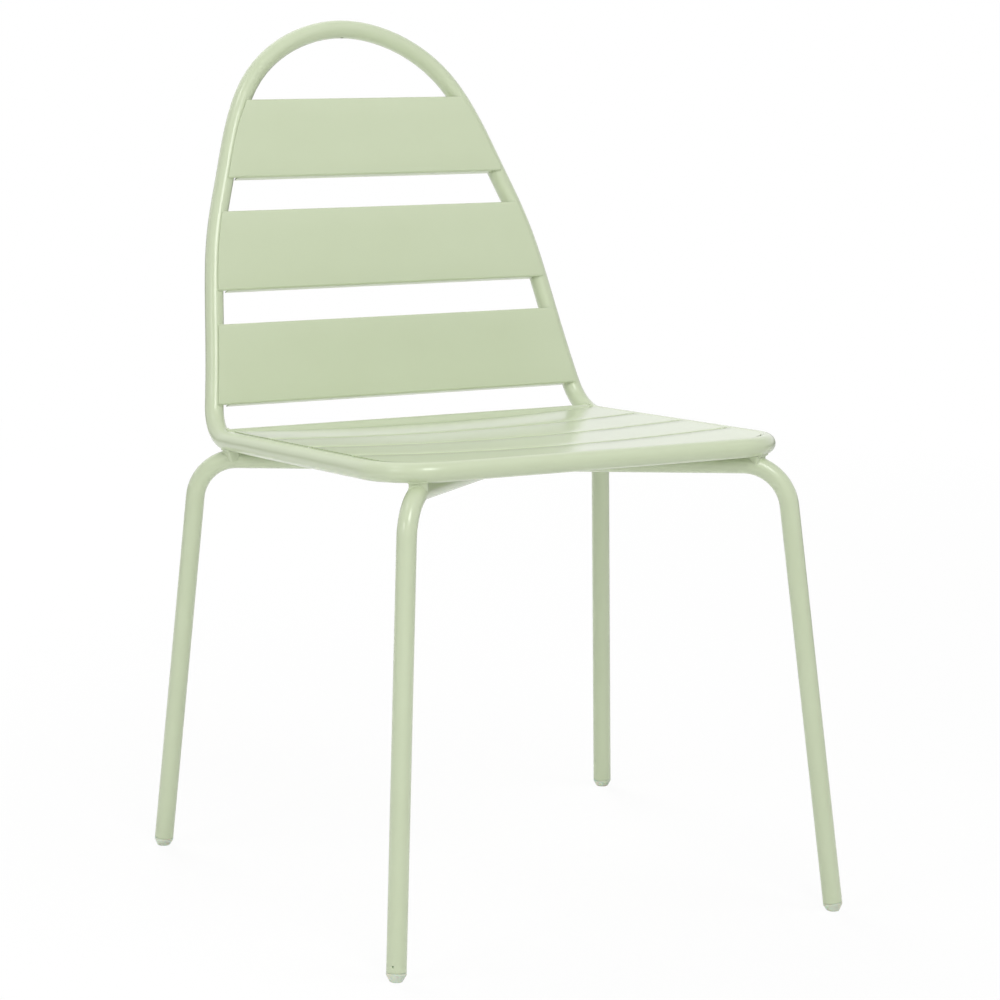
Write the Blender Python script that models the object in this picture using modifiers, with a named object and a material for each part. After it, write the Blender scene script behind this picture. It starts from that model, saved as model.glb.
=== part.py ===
"""A stackable garden chair: bent steel tube and folded sheet slats, powder coated.

Metres, +Z up. The sitter faces -Y. The origin is on the floor, under the middle of the chair's box.
"""

import math

import bmesh
import bpy
import numpy as np
from mathutils import Matrix, Vector

# Stock and fits
TUBE_DIAMETER = 0.019
TUBE_WALL = 0.0012
SHEET = 0.0012            # thickness of the slats
FIT = 0.0003              # gap between pieces that touch
FOLD_RADIUS = 0.0024      # outside radius of the folds in the sheet

# The loop: one closed tube that makes the seat rails and the back
SEAT_WIDTH = 0.434        # between the centrelines of the side rails
SEAT_DEPTH = 0.392        # front rail to the corner where seat and back lines meet
SEAT_FRONT_HEIGHT = 0.455
SEAT_TILT = math.radians(4.56)
FRONT_CORNER_RADIUS = 0.056
REAR_BEND_RADIUS = 0.047
BACK_LENGTH = 0.4325      # from that corner to the top of the arch, along the back
BACK_LEAN = math.radians(21.7)
# The arch as spline points: share of half the seat width, share of the back length
ARCH = ((0.962, 0.10), (0.917, 0.22), (0.865, 0.465), (0.743, 0.613), (0.580, 0.881), (0.189, 1.0))
VENT_DIAMETER = 0.0042

# Back slats: flat sheet, edges folded back
BACK_SLAT_START = 0.0312  # lower edge of the lowest slat, up the back from the corner
BACK_SLAT_HEIGHT = 0.0839
BACK_SLAT_GAP = 0.0345
BACK_FLANGE = 0.0105
BACK_STANDOFF = 0.0004    # between the tube and the sheet that is welded to it

# Seat slats: dished sheet, edges folded down
SEAT_SLAT_GAP = 0.004
SEAT_FLANGE = 0.009
SEAT_DISH = 0.0055        # how far the middle of a slat lies below its ends
SEAT_END_INSET = 0.0070   # rail centreline to the end of the sheet
FRONT_EDGE_GAP = 0.0008   # between the front rail and the first slat
REAR_EDGE_GAP = 0.002     # between the last slat and the cross tube
CROSS_TUBE_OFFSET = 0.024  # how far the cross tube's axis lies in front of the rear corner

# Legs: two tube hoops that cross under the seat. Offsets are from the loop's corners.
FRONT_FOOT = (0.0267, -0.0745)
FRONT_SHOULDER = (-0.0093, -0.0090)
REAR_SHOULDER = (0.0199, -0.0086)
REAR_FOOT = (0.0481, 0.0079)
LEG_BEND_RADIUS = 0.0455
FRONT_SADDLE = (0.0175, 0.0070, 0.0)    # blocks between the loop and a hoop: along the loop,
REAR_SADDLE = (0.0160, 0.0070, 0.0055)  # across it, and ahead of where the tubes touch
SADDLE_HEIGHT = 0.012     # before it is hollowed for both tubes
SADDLE_WEB = 0.0004       # what is left of it between them
DRAIN_DIAMETER = 0.0020   # hole on the outer side of each leg
DRAIN_HEIGHT = 0.0062     # above the end of the tube

# Feet: plastic plugs in the open ends of the tubes
CAP_HEIGHT = 0.0078
CAP_SHOULDER = 0.0058     # where the foot starts to narrow
CAP_TIP_RADIUS = 0.0046
CAP_PROUD = 0.0012        # how much of the tip the floor flat takes off
PLUG_LENGTH = 0.014

# Facets
TUBE_SIDES = 16
BORE_SIDES = 10           # of the bores that nothing fits into
HOLE_SIDES = 8
FOLD_STEPS = 4
ARCH_SAMPLES = 241        # before thinning
TURN_STEP = math.radians(8.0)
CHORD_ERROR = 0.0002
SEAT_STATIONS = 13        # odd, so that each slat has a flat facet in its middle
CUTTER_REACH = 0.03
SAMPLE_STEP = 0.002       # along a path, where the nearest points of two paths are sought
WELD_DISTANCE = 0.00002   # vertices closer than this are one
SHARP_ANGLE = math.radians(32)
SEATING_ROUNDS = 12

COAT = (0.571, 0.651, 0.462, 1.0)
PLASTIC = (0.560, 0.610, 0.500, 1.0)

TUBE_RADIUS = TUBE_DIAMETER / 2
BORE_RADIUS = TUBE_RADIUS - TUBE_WALL
HALF_WIDTH = SEAT_WIDTH / 2
SEAT_BACKWARD = Vector((0, math.cos(SEAT_TILT), -math.sin(SEAT_TILT)))
SEAT_NORMAL = Vector((0, math.sin(SEAT_TILT), math.cos(SEAT_TILT)))
BACK_UP = Vector((0, math.sin(BACK_LEAN), math.cos(BACK_LEAN)))
BACK_FORWARD = Vector((0, -math.cos(BACK_LEAN), math.sin(BACK_LEAN)))
ACROSS = Vector((1, 0, 0))

# The chair's box runs from the front feet to the top of the arch; its middle is at y = 0
DEPTH_AHEAD = FRONT_FOOT[1] - TUBE_RADIUS
DEPTH_BEHIND = (SEAT_BACKWARD * SEAT_DEPTH + BACK_UP * BACK_LENGTH).y + TUBE_RADIUS
FRONT_Y = -(DEPTH_AHEAD + DEPTH_BEHIND) / 2
FRONT = Vector((0, FRONT_Y, SEAT_FRONT_HEIGHT))
REAR = FRONT + SEAT_BACKWARD * SEAT_DEPTH


def clear_scene():
    for thing in list(bpy.data.objects):
        bpy.data.objects.remove(thing, do_unlink=True)


def new_collection(name, hidden=False):
    group = bpy.data.collections.new(name)
    bpy.context.scene.collection.children.link(group)
    group.hide_render = hidden
    return group


def new_material(name, colour, metallic, roughness):
    material = bpy.data.materials.new(name)
    material.use_nodes = True
    shader = material.node_tree.nodes["Principled BSDF"]
    shader.inputs["Base Color"].default_value = colour
    shader.inputs["Metallic"].default_value = metallic
    shader.inputs["Roughness"].default_value = roughness
    return material


# Paths


def spline_points(control, count):
    """Points along a cubic B-spline that starts and ends on its outer control points."""
    degree = 3
    inner = np.linspace(0, 1, len(control) - degree + 1)
    knots = np.concatenate([[0] * degree, inner, [1] * degree])
    points = []
    for t in np.linspace(0, 1, count):
        span = min(int(np.searchsorted(knots, t, side="right")) - 1, len(control) - 1)
        local = [Vector(control[span - degree + i]) for i in range(degree + 1)]
        for level in range(1, degree + 1):
            for i in range(degree, level - 1, -1):
                low = knots[span - degree + i]
                high = knots[span + 1 + i - level]
                local[i] = local[i - 1].lerp(local[i], (t - low) / (high - low))
        points.append(local[degree])
    return points


def bent(corners, radii):
    """A straight-sided path with a round bend at each inner corner."""
    path = [corners[0].copy()]
    for before, corner, after, radius in zip(corners, corners[1:], corners[2:], radii):
        back = (before - corner).normalized()
        ahead = (after - corner).normalized()
        half = back.angle(ahead) / 2
        centre = corner + (back + ahead).normalized() * radius / math.sin(half)
        start = corner + back * radius / math.tan(half) - centre
        sweep = math.pi - 2 * half
        axis = back.cross(start)
        steps = max(2, round(sweep / TURN_STEP))
        for i in range(steps + 1):
            path.append(centre + Matrix.Rotation(sweep * i / steps, 3, axis) @ start)
    path.append(corners[-1].copy())
    return path


def thinned(points):
    """The same path with a point only where it has turned by a step or left its chord."""
    kept = [points[0]]
    turned = 0.0
    for before, point, after in zip(points, points[1:], points[2:]):
        turned += (point - before).angle(after - point)
        sagitta = turned * (point - kept[-1]).length / 8
        if turned >= TURN_STEP or sagitta >= CHORD_ERROR:
            kept.append(point)
            turned = 0.0
    return kept + [points[-1]]


def mirrored(points):
    return [Vector((-p.x, p.y, p.z)) for p in points]


def loop_half():
    """The +X half of the loop's centreline, from the middle of the front rail to the top of the arch."""
    side = ACROSS * HALF_WIDTH
    arch = [ACROSS * HALF_WIDTH * share + REAR + BACK_UP * BACK_LENGTH * height for share, height in ARCH]
    top = thinned(spline_points(arch + mirrored(arch[::-1]), ARCH_SAMPLES)[:ARCH_SAMPLES // 2 + 1])
    low = bent([FRONT, FRONT + side, REAR + side, top[0]], (FRONT_CORNER_RADIUS, REAR_BEND_RADIUS))
    return low + top[1:]


def loop_path():
    half = loop_half()
    return half + mirrored(half[-2:0:-1])


def leg_corners(front_drop, rear_drop):
    """Foot, shoulder, shoulder and foot of the hoop from the left front foot to the right rear foot."""
    def at(origin, offset, side, height):
        return Vector((side * (HALF_WIDTH + offset[0]), origin.y + offset[1], height))

    return [
        at(FRONT, FRONT_FOOT, 1, 0.0),
        at(FRONT, FRONT_SHOULDER, 1, FRONT.z - front_drop),
        at(REAR, REAR_SHOULDER, -1, REAR.z - rear_drop),
        at(REAR, REAR_FOOT, -1, 0.0),
    ]


def closest(path, other):
    """The closest points of two paths, the first from samples on its segments."""
    starts = np.array(other[:-1])
    spans = np.array(other[1:]) - starts
    best = (math.inf, None, None)
    for a, b in zip(path, path[1:]):
        count = max(2, int((b - a).length / SAMPLE_STEP))
        samples = np.array([a.lerp(b, i / count) for i in range(count + 1)])
        offset = samples[:, None] - starts[None]
        share = np.clip((offset * spans[None]).sum(2) / (spans**2).sum(1), 0, 1)
        nearest = starts[None] + share[..., None] * spans[None]
        distance = np.linalg.norm(samples[:, None] - nearest, axis=2)
        i, j = np.unravel_index(distance.argmin(), distance.shape)
        if distance[i, j] < best[0]:
            best = (float(distance[i, j]), Vector(samples[i]), Vector(nearest[i, j]))
    return best


def crossing(corners):
    """Where the hoop passes through the middle plane, which is where the two hoops meet."""
    front, rear = corners[1], corners[2]
    return front.lerp(rear, front.x / (front.x - rear.x))


def hoop_halves(corners):
    """The hoop's two runs, each from a foot to the crossing or back."""
    middle = crossing(corners)
    return bent(corners[:2] + [middle], (LEG_BEND_RADIUS,)), bent([middle] + corners[2:], (LEG_BEND_RADIUS,))


def seated_hoop():
    """The hoop's corners, lowered until a saddle fits between its tube and the loop's."""
    loop = loop_half()
    wanted = TUBE_DIAMETER + SADDLE_WEB + 2 * FIT
    drops = [TUBE_DIAMETER, TUBE_DIAMETER]
    for _ in range(SEATING_ROUNDS):
        front, rear = hoop_halves(leg_corners(*drops))
        drops[0] += wanted - closest(front, loop)[0]
        drops[1] += wanted - closest(mirrored(rear), loop)[0]
    return leg_corners(*drops)


# Solids


def adopt(name, mesh, group, material):
    thing = bpy.data.objects.new(name, mesh)
    group.objects.link(thing)
    if material:
        thing.data.materials.append(material)
    return thing


def mesh_from_curve(curve, matrix):
    """The curve's surface as a mesh in world space, with its caps welded on."""
    holder = bpy.data.objects.new("outline", curve)
    bpy.context.scene.collection.objects.link(holder)
    holder.matrix_world = matrix
    graph = bpy.context.evaluated_depsgraph_get()
    mesh = bpy.data.meshes.new_from_object(holder.evaluated_get(graph))
    shape = bmesh.new()
    shape.from_mesh(mesh)
    bmesh.ops.remove_doubles(shape, verts=shape.verts, dist=WELD_DISTANCE / 20)
    bmesh.ops.recalc_face_normals(shape, faces=shape.faces)
    bmesh.ops.transform(shape, matrix=matrix, verts=shape.verts)
    shape.to_mesh(mesh)
    shape.free()
    bpy.data.objects.remove(holder, do_unlink=True)
    return mesh


def rod(points, radius, sides, closed=False):
    """A solid round bar along a path."""
    curve = bpy.data.curves.new("rod", "CURVE")
    curve.dimensions = "3D"
    curve.bevel_depth = radius
    curve.bevel_resolution = (sides - 4) // 2
    curve.use_fill_caps = not closed
    line = curve.splines.new("POLY")
    line.points.add(len(points) - 1)
    for knot, point in zip(line.points, points):
        knot.co = (*point, 1.0)
    line.use_cyclic_u = closed
    return mesh_from_curve(curve, Matrix.Identity(4))


def plate(outline, half_depth, matrix):
    """A flat outline made thick to both sides of its plane."""
    curve = bpy.data.curves.new("plate", "CURVE")
    curve.dimensions = "2D"
    curve.fill_mode = "BOTH"
    curve.extrude = half_depth
    line = curve.splines.new("POLY")
    line.points.add(len(outline) - 1)
    for knot, point in zip(line.points, outline):
        knot.co = (point[0], point[1], 0.0, 1.0)
    line.use_cyclic_u = True
    return mesh_from_curve(curve, matrix)


def cutter(name, mesh):
    thing = adopt(name, mesh, CUTTERS, None)
    thing.hide_render = True
    thing.display_type = "WIRE"
    return thing


def boolean(thing, tool, operation="DIFFERENCE"):
    step = thing.modifiers.new(operation.title() + " " + tool.name, "BOOLEAN")
    step.operation = operation
    step.solver = "EXACT"
    step.object = tool


def round_shading(thing):
    thing.data.shade_smooth()
    thing.data.set_sharp_from_angle(angle=SHARP_ANGLE)


def longer(path, reach):
    """The path with both ends run on, so that what it cuts opens there."""
    first = path[0] + (path[0] - path[1]).normalized() * reach
    last = path[-1] + (path[-1] - path[-2]).normalized() * reach
    return [first] + path[1:-1] + [last]


def frame(origin, right, up):
    """A matrix whose X runs along right and Y along up."""
    out = right.cross(up)
    turn = Matrix((right, up, out)).transposed().to_4x4()
    return Matrix.Translation(origin) @ turn


def make_loop(path):
    loop = adopt("seat_back_loop", rod(path, TUBE_RADIUS, TUBE_SIDES, closed=True), CHAIR, COATED)
    boolean(loop, cutter("loop_bore", rod(path, BORE_RADIUS, BORE_SIDES, closed=True)))
    top = max(path, key=lambda p: p.z)
    hole = rod([top, top - BACK_UP * TUBE_DIAMETER], VENT_DIAMETER / 2, HOLE_SIDES)
    boolean(loop, cutter("arch_vent", hole))
    round_shading(loop)


def drain(name, end, above, outward):
    """A short rod through the outer wall of a leg, a little above its open end."""
    up = (above - end).normalized()
    out = (outward - up * outward.dot(up)).normalized()
    start = end + up * DRAIN_HEIGHT + out * (BORE_RADIUS - TUBE_WALL)
    return cutter(name, rod([start, start + out * TUBE_DIAMETER / 2], DRAIN_DIAMETER / 2, HOLE_SIDES))


def make_leg(name, path, feet, cuts=()):
    """A bent tube, open at its ends. Feet are the indices of its ends that stand on the floor."""
    leg = adopt(name, rod(path, TUBE_RADIUS, TUBE_SIDES), CHAIR, COATED)
    for tool in cuts:
        boolean(leg, tool)
    for index in feet:
        along = path if index == 0 else path[::-1]
        outward = along[0] - along[-1]
        boolean(leg, drain(f"{name}_drain_{index + 1}", along[0], along[1], outward))
    boolean(leg, cutter(name + "_bore", rod(longer(path, TUBE_WALL * 2), BORE_RADIUS, TUBE_SIDES)))
    round_shading(leg)


def folded_profile(length, flange):
    """Sheet with both edges folded: pairs of (along the sheet, out of its face), face at zero."""
    profile = [(0.0, -flange)]
    for i in range(FOLD_STEPS + 1):
        turn = math.pi / 2 * i / FOLD_STEPS
        profile.append((FOLD_RADIUS * (1 - math.cos(turn)), FOLD_RADIUS * (math.sin(turn) - 1)))
    for i in range(FOLD_STEPS + 1):
        turn = math.pi / 2 * i / FOLD_STEPS
        profile.append((length - FOLD_RADIUS * (1 - math.sin(turn)), FOLD_RADIUS * (math.cos(turn) - 1)))
    profile.append((length, -flange))
    return profile


def swept_sheet(name, profile, matrix, half_span, stations, dish):
    """The profile drawn across the chair, lowered by the dish in its middle, and made solid.

    Along and out of the sheet are the matrix's Y and Z, and the sweep runs along its X.
    """
    shape = bmesh.new()
    verts = [shape.verts.new((-half_span, along, out)) for along, out in profile]
    edges = [shape.edges.new(pair) for pair in zip(verts, verts[1:])]
    spacing = 2 * half_span / stations
    for i in range(stations):
        before = -half_span + spacing * i
        after = before + spacing
        sink = dish * ((after / half_span) ** 2 - (before / half_span) ** 2)
        grown = bmesh.ops.extrude_edge_only(shape, edges=edges)["geom"]
        edges = [part for part in grown if isinstance(part, bmesh.types.BMEdge)]
        verts = [part for part in grown if isinstance(part, bmesh.types.BMVert)]
        bmesh.ops.translate(shape, verts=verts, vec=(spacing, 0, sink))
    bmesh.ops.recalc_face_normals(shape, faces=shape.faces)
    middle = max(shape.faces, key=lambda face: face.calc_area())
    if middle.normal.z < 0:
        bmesh.ops.reverse_faces(shape, faces=shape.faces)
    bmesh.ops.transform(shape, matrix=matrix, verts=shape.verts)
    mesh = bpy.data.meshes.new(name)
    shape.to_mesh(mesh)
    shape.free()
    thing = adopt(name, mesh, CHAIR, COATED)
    wall = thing.modifiers.new("Sheet", "SOLIDIFY")
    wall.thickness = SHEET
    wall.offset = -1.0
    wall.use_even_offset = True
    return thing


def make_back_slats(names, path, clearance):
    """Sheets on the front of the tube, their ends cut along the tube's centreline."""
    outline = []
    for point in path:
        from_corner = point - REAR
        if from_corner.dot(BACK_UP) > 0 and abs(from_corner.dot(BACK_FORWARD)) < TUBE_WALL:
            outline.append((from_corner.x, from_corner.dot(BACK_UP)))
    outline = [(outline[0][0], 0.0)] + outline + [(outline[-1][0], 0.0)]
    ends = cutter("back_outline", plate(outline, CUTTER_REACH, frame(REAR, ACROSS, BACK_UP)))
    face = TUBE_RADIUS + BACK_STANDOFF + SHEET
    profile = folded_profile(BACK_SLAT_HEIGHT, BACK_FLANGE)
    for i, name in enumerate(names):
        start = BACK_SLAT_START + i * (BACK_SLAT_HEIGHT + BACK_SLAT_GAP)
        place = frame(REAR + BACK_UP * start + BACK_FORWARD * face, ACROSS, BACK_UP)
        slat = swept_sheet(name, profile, place, HALF_WIDTH + CUTTER_REACH, 1, 0.0)
        boolean(slat, ends, "INTERSECT")
        boolean(slat, clearance)


def make_seat_slats(names, clearance):
    """Dished sheets between the rails, level with the tops of the tubes at their ends."""
    half_span = HALF_WIDTH - SEAT_END_INSET
    corners = [
        Vector((half_span, SEAT_DEPTH, 0)),
        Vector((half_span, SEAT_END_INSET, 0)),
        Vector((-half_span, SEAT_END_INSET, 0)),
        Vector((-half_span, SEAT_DEPTH, 0)),
    ]
    rounded = FRONT_CORNER_RADIUS - SEAT_END_INSET
    outline = bent(corners, (rounded, rounded))
    ends = cutter("seat_outline", plate(outline, CUTTER_REACH, frame(FRONT, ACROSS, SEAT_BACKWARD)))
    first = TUBE_RADIUS + FRONT_EDGE_GAP
    last = SEAT_DEPTH - CROSS_TUBE_OFFSET - TUBE_RADIUS - REAR_EDGE_GAP
    width = (last - first - (len(names) - 1) * SEAT_SLAT_GAP) / len(names)
    profile = folded_profile(width, SEAT_FLANGE)
    for i, name in enumerate(names):
        start = first + i * (width + SEAT_SLAT_GAP)
        origin = FRONT + SEAT_BACKWARD * start + SEAT_NORMAL * TUBE_RADIUS
        place = frame(origin, ACROSS, SEAT_BACKWARD)
        slat = swept_sheet(name, profile, place, half_span + FIT, SEAT_STATIONS, SEAT_DISH)
        boolean(slat, ends, "INTERSECT")
        boolean(slat, clearance)
        round_shading(slat)


def make_cross_tube(path, clearance):
    """The tube that closes the seat at the rear, between the loop's rear bends."""
    along = SEAT_DEPTH - CROSS_TUBE_OFFSET
    place = None
    for before, after in zip(path, path[1:]):
        start = (before - FRONT).dot(SEAT_BACKWARD)
        end = (after - FRONT).dot(SEAT_BACKWARD)
        if start <= along < end and before.x > 0:
            place = before.lerp(after, (along - start) / (end - start))
            break
    axis = [place, Vector((-place.x, place.y, place.z))]
    tube = adopt("rear_cross_tube", rod(axis, TUBE_RADIUS, TUBE_SIDES), CHAIR, COATED)
    boolean(tube, cutter("cross_tube_bore", rod(longer(axis, FIT), BORE_RADIUS, BORE_SIDES)))
    boolean(tube, clearance)
    round_shading(tube)
    return cutter("cross_tube_clearance", rod(axis, TUBE_RADIUS + FIT, TUBE_SIDES))


def make_spacer(name, leg, loop, size, cuts):
    """A block between the loop and a hoop, hollowed to sit on both."""
    along, across, ahead = size
    _, low, high = closest(leg, loop)
    up = (high - low).normalized()
    nearest = min(zip(loop, loop[1:]), key=lambda pair: (pair[0].lerp(pair[1], 0.5) - high).length)
    run = (nearest[1] - nearest[0]).normalized()
    run = (run - up * run.dot(up)).normalized()
    bpy.ops.mesh.primitive_cube_add(size=1.0)
    block = bpy.context.object
    block.name = name
    block.data.name = name
    shape = Matrix.Diagonal((along, across, SADDLE_HEIGHT, 1.0))
    block.data.transform(frame((low + high) / 2 - run * ahead, run, up.cross(run)) @ shape)
    for group in list(block.users_collection):
        group.objects.unlink(block)
    CHAIR.objects.link(block)
    block.data.materials.append(COATED)
    for tool in cuts:
        boolean(block, tool)


def make_cap(name, foot, shoulder, floor):
    """A plug with a tapered foot, turned, set along the leg and cut flat by the floor."""
    plug = BORE_RADIUS - FIT
    chamfer = TUBE_WALL
    profile = [
        (0.0, CAP_HEIGHT + PLUG_LENGTH),
        (plug - chamfer, CAP_HEIGHT + PLUG_LENGTH),
        (plug, CAP_HEIGHT + PLUG_LENGTH - chamfer),
        (plug, CAP_HEIGHT),
        (TUBE_RADIUS, CAP_HEIGHT),
        (TUBE_RADIUS, CAP_SHOULDER),
        (CAP_TIP_RADIUS, -CAP_PROUD),
        (0.0, -CAP_PROUD),
    ]
    mesh = bpy.data.meshes.new(name)
    mesh.from_pydata([(r, 0.0, h) for r, h in profile], [(i, i + 1) for i in range(len(profile) - 1)], [])
    cap = adopt(name, mesh, CHAIR, MOULDED)
    turned = cap.modifiers.new("Turned", "SCREW")
    turned.steps = TUBE_SIDES
    turned.render_steps = TUBE_SIDES
    turned.use_merge_vertices = True
    turned.merge_threshold = WELD_DISTANCE
    turned.use_smooth_shade = True
    boolean(cap, floor)
    cap.location = foot
    cap.rotation_mode = "QUATERNION"
    cap.rotation_quaternion = (shoulder - foot).to_track_quat("Z", "Y")


clear_scene()
CHAIR = new_collection("metal_garden_chair")
CUTTERS = new_collection("cutters", hidden=True)
COATED = new_material("powder_coated_steel", COAT, 0.0, 0.42)
MOULDED = new_material("foot_plastic", PLASTIC, 0.0, 0.5)

loop_line = loop_path()
half_line = loop_half()
make_loop(loop_line)
loop_clearance = cutter("loop_clearance", rod(loop_line, TUBE_RADIUS + FIT, TUBE_SIDES, closed=True))

# One hoop is a single tube; the other is two halves, each coped to fit against it
feet_to_feet = seated_hoop()
ends_up = CAP_HEIGHT + FIT
left_front, left_shoulder, right_shoulder, right_rear = feet_to_feet
tube_corners = [
    left_front + (left_shoulder - left_front).normalized() * ends_up,
    left_shoulder,
    right_shoulder,
    right_rear + (right_shoulder - right_rear).normalized() * ends_up,
]
hoop_line = bent(tube_corners, (LEG_BEND_RADIUS, LEG_BEND_RADIUS))
left_front_run, right_rear_run = hoop_halves(tube_corners)
front_half, rear_half = mirrored(left_front_run), mirrored(right_rear_run)
hoop_clearance = cutter("hoop_clearance", rod(hoop_line, TUBE_RADIUS + FIT, TUBE_SIDES))
make_leg("leg_hoop_whole", hoop_line, (0, -1))
make_leg("leg_hoop_front_half", front_half, (0,), (hoop_clearance,))
make_leg("leg_hoop_rear_half", rear_half, (-1,), (hoop_clearance,))

make_back_slats(("back_slat_bottom", "back_slat_middle", "back_slat_top"), loop_line, loop_clearance)
make_seat_slats(("seat_slat_front", "seat_slat_second", "seat_slat_third", "seat_slat_rear"), loop_clearance)
cross_clearance = make_cross_tube(half_line, loop_clearance)

front_clearance = cutter("front_half_clearance", rod(front_half, TUBE_RADIUS + FIT, TUBE_SIDES))
rear_clearance = cutter("rear_half_clearance", rod(rear_half, TUBE_RADIUS + FIT, TUBE_SIDES))
left_loop = half_line
right_loop = mirrored(half_line)
make_spacer("corner_spacer_front_left", left_front_run, left_loop, FRONT_SADDLE,
            (loop_clearance, hoop_clearance))
make_spacer("corner_spacer_rear_right", right_rear_run, right_loop, REAR_SADDLE,
            (loop_clearance, hoop_clearance, cross_clearance))
make_spacer("corner_spacer_front_right", front_half, right_loop, FRONT_SADDLE,
            (loop_clearance, front_clearance))
make_spacer("corner_spacer_rear_left", rear_half, left_loop, REAR_SADDLE,
            (loop_clearance, rear_clearance, cross_clearance))

below = Matrix.Translation((0, 0, -CUTTER_REACH / 2)) @ Matrix.Diagonal((1, 1, CUTTER_REACH, 1))
bpy.ops.mesh.primitive_cube_add(size=1.0)
floor_block = bpy.context.object
floor_mesh = floor_block.data
floor_mesh.transform(below)
bpy.data.objects.remove(floor_block, do_unlink=True)
floor_cut = cutter("floor_cut", floor_mesh)
make_cap("foot_cap_front_left", left_front, left_shoulder, floor_cut)
make_cap("foot_cap_rear_right", right_rear, right_shoulder, floor_cut)
mirror_corners = mirrored(feet_to_feet)
make_cap("foot_cap_front_right", mirror_corners[0], mirror_corners[1], floor_cut)
make_cap("foot_cap_rear_left", mirror_corners[3], mirror_corners[2], floor_cut)
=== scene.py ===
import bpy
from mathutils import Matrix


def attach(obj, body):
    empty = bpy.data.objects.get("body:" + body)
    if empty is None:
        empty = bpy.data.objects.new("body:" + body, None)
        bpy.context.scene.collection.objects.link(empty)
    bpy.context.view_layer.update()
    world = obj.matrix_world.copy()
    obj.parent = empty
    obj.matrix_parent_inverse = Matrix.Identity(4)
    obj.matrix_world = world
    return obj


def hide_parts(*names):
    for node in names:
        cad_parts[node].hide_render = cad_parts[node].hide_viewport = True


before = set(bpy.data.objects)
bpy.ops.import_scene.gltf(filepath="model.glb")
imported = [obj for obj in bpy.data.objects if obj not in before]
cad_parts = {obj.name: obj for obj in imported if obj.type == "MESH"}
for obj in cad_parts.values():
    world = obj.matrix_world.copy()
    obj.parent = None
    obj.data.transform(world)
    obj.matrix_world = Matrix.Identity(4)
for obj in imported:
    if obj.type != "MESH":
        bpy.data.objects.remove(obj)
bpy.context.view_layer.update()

import math

import bpy
from mathutils import Matrix, Vector
from mathutils.kdtree import KDTree


# Sizes, in metres. The sitter faces -Y and the floor is at z = 0

tube = {"radius": 0.0095, "wall": 0.0012, "sides": 40, "turnStep": math.radians(4), "straight": 1e-4}
metalSheet = {"thickness": 0.0012, "foldSteps": 5, "trimDepth": 0.06}
fit = 0.0003          # between pieces that touch
samePlace = 0.0001    # points nearer than this count as one

seat = {"width": 0.434, "depth": 0.392, "frontY": -0.238087, "frontHeight": 0.455, "tilt": math.radians(4.56),
        "frontCorner": 0.056, "rearBend": 0.047}
back = {"length": 0.4325, "lean": math.radians(21.7), "archSteps": 8,
        "arch": ((0.962, 0.10), (0.917, 0.22), (0.865, 0.465), (0.743, 0.613), (0.580, 0.881), (0.189, 1.0))}

across = Vector((1, 0, 0))
seatBackward = Vector((0, math.cos(seat["tilt"]), -math.sin(seat["tilt"])))
seatNormal = Vector((0, math.sin(seat["tilt"]), math.cos(seat["tilt"])))
backUp = Vector((0, math.sin(back["lean"]), math.cos(back["lean"])))
backForward = Vector((0, -math.cos(back["lean"]), math.sin(back["lean"])))
halfWidth = seat["width"] / 2
frontMiddle = Vector((0, seat["frontY"], seat["frontHeight"]))
rearMiddle = frontMiddle + seatBackward * seat["depth"]


# Lines that the tubes follow

def roundedLine(corners, radius):
    line = [corners[0].copy()]
    for before, corner, after, bendRadius in zip(corners, corners[1:], corners[2:], radius):
        inward = (before - corner).normalized()
        onward = (after - corner).normalized()
        half = inward.angle(onward) / 2
        centre = corner + (inward + onward).normalized() * bendRadius / math.sin(half)
        arm = corner + inward * bendRadius / math.tan(half) - centre
        sweep = math.pi - 2 * half
        steps = max(3, round(sweep / tube["turnStep"]))
        for i in range(steps + 1):
            line.append(centre + Matrix.Rotation(sweep * i / steps, 3, inward.cross(arm)) @ arm)
    line.append(corners[-1].copy())
    return line


def archLine():
    # a smooth curve, pulled towards its control points, up to the top of the arch
    right = [across * halfWidth * side + rearMiddle + backUp * back["length"] * high for side, high in back["arch"]]
    pull = right + [Vector((-p.x, p.y, p.z)) for p in reversed(right)]
    spans = len(pull) - 3
    knots = [0] * 3 + list(range(spans + 1)) + [spans] * 3
    line = []
    for i in range(spans * back["archSteps"] // 2 + 1):
        t = i / back["archSteps"]
        k = min(int(t), spans - 1) + 3
        group = pull[k - 3:k + 1]
        for level in range(1, 4):
            for j in range(3, level - 1, -1):
                low, high = knots[k - 3 + j], knots[k + 1 + j - level]
                group[j] = group[j - 1].lerp(group[j], (t - low) / (high - low))
        line.append(group[3])
    return line


def mirroredLine(line):
    return [Vector((-p.x, p.y, p.z)) for p in line]


arch = archLine()
loopLine = roundedLine([frontMiddle, frontMiddle + across * halfWidth, rearMiddle + across * halfWidth, arch[0]],
                       (seat["frontCorner"], seat["rearBend"])) + arch[1:]


# Modelling

def startFresh():
    if bpy.context.object and bpy.context.object.mode != "OBJECT":
        bpy.ops.object.mode_set(mode="OBJECT")
    bpy.ops.object.select_all(action="DESELECT")


def pickOnly(*pieces):
    bpy.ops.object.select_all(action="DESELECT")
    for piece in pieces:
        piece.select_set(True)
    bpy.context.view_layer.objects.active = pieces[0]


def applyPlace(piece):
    pickOnly(piece)
    bpy.ops.object.transform_apply(location=True, rotation=True, scale=True)


def applyModifier(piece, kind, **settings):
    bpy.context.view_layer.objects.active = piece
    step = piece.modifiers.new(kind.title(), kind)
    for key, value in settings.items():
        setattr(step, key, value)
    bpy.ops.object.modifier_apply(modifier=step.name)


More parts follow.
